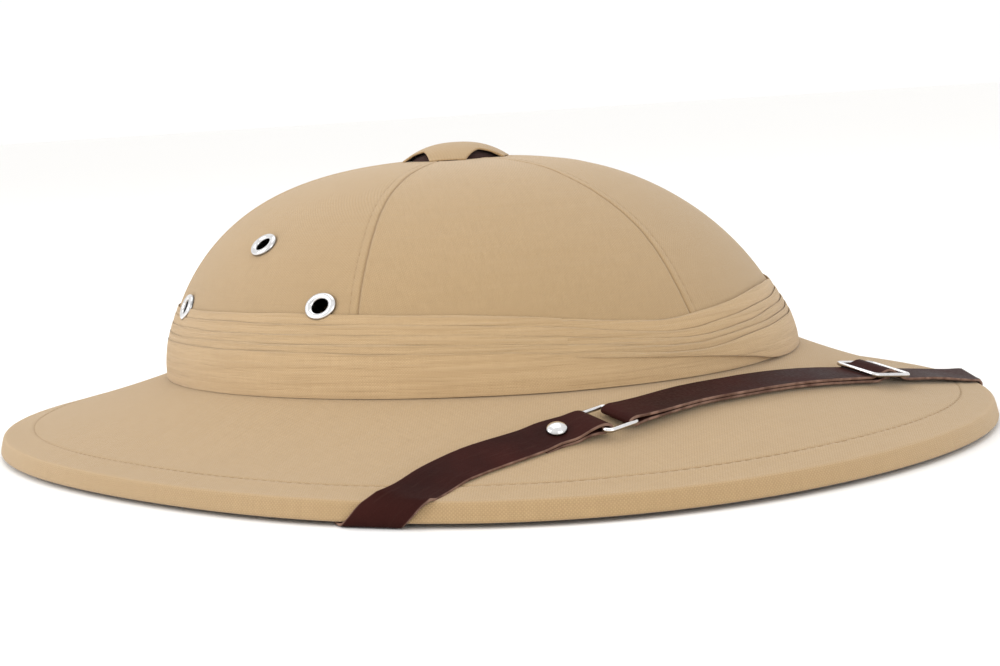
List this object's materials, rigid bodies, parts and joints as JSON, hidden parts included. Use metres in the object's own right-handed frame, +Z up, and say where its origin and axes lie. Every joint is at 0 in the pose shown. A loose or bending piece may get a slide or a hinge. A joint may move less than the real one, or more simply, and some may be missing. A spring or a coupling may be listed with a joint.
{
  "type": "pith helmet",
  "caption": "Pith helmet with a domed crown, downturned brim, pleated cloth band, raised vent cap, eyelets and a leather chin strap worn over the front of the brim.",
  "frame": {"origin": "under the middle of the helmet's length and width, in the plane on which it stands", "axes": "+Y from the helmet's front to its back, +X towards the wearer's left, +Z up to the vent cap"},
  "size_m": [0.315, 0.3492, 0.1025],
  "materials": {
    "khaki_cloth": "khaki cotton drill, matt",
    "band_cloth": "khaki cotton folded in pleats, matt",
    "brown_leather": "dark brown, half gloss",
    "chrome": "polished"
  },
  "bodies": {
    "root": {"helmet_shell": "khaki_cloth", "pleated_band": "band_cloth", "vent_cap": "khaki_cloth", "eyelet_right_front": "chrome", "eyelet_right_top": "chrome", "eyelet_right_back": "chrome", "eyelet_left_front": "chrome", "eyelet_left_top": "chrome", "eyelet_left_back": "chrome", "strap_right": "brown_leather", "strap_left": "brown_leather", "strap_ring": "chrome", "strap_slide": "chrome", "strap_stud": "chrome", "strap_rivet_right": "chrome", "strap_rivet_left": "chrome"}
  },
  "joints": []
}
